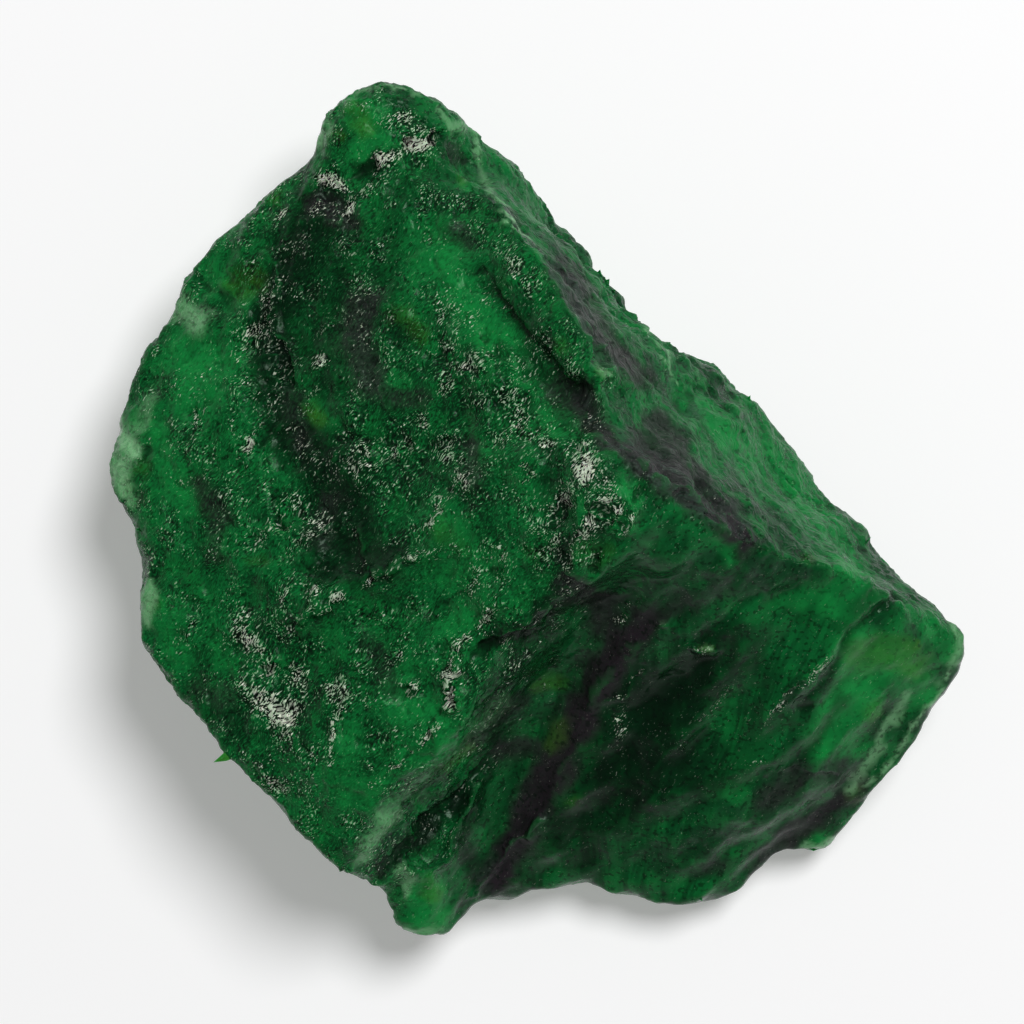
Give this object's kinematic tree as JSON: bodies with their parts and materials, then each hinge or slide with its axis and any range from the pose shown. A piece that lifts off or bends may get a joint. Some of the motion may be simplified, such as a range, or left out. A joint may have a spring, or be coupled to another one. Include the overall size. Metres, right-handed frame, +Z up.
{
  "type": "raw emerald crystal",
  "caption": "Broken lump of raw green emerald with a tilted plateau, a steep slope, a ribbed face beside a gully, and a flat break to rest on.",
  "frame": {"origin": "middle of the outline seen from above, on the surface that the lump rests on", "axes": "+Z up from the surface, the shortest way through the lump; +Y towards its blunt top and +X towards its right end, as seen from above"},
  "size_m": [0.0486, 0.0484, 0.0221],
  "materials": {
    "emerald": "broken emerald, deep green with paler thin edges and dark brown-purple veils, an oily gloss on the plateau and a duller sheen on the steep slope"
  },
  "bodies": {
    "root": {"emerald_crystal": "emerald"}
  },
  "joints": []
}
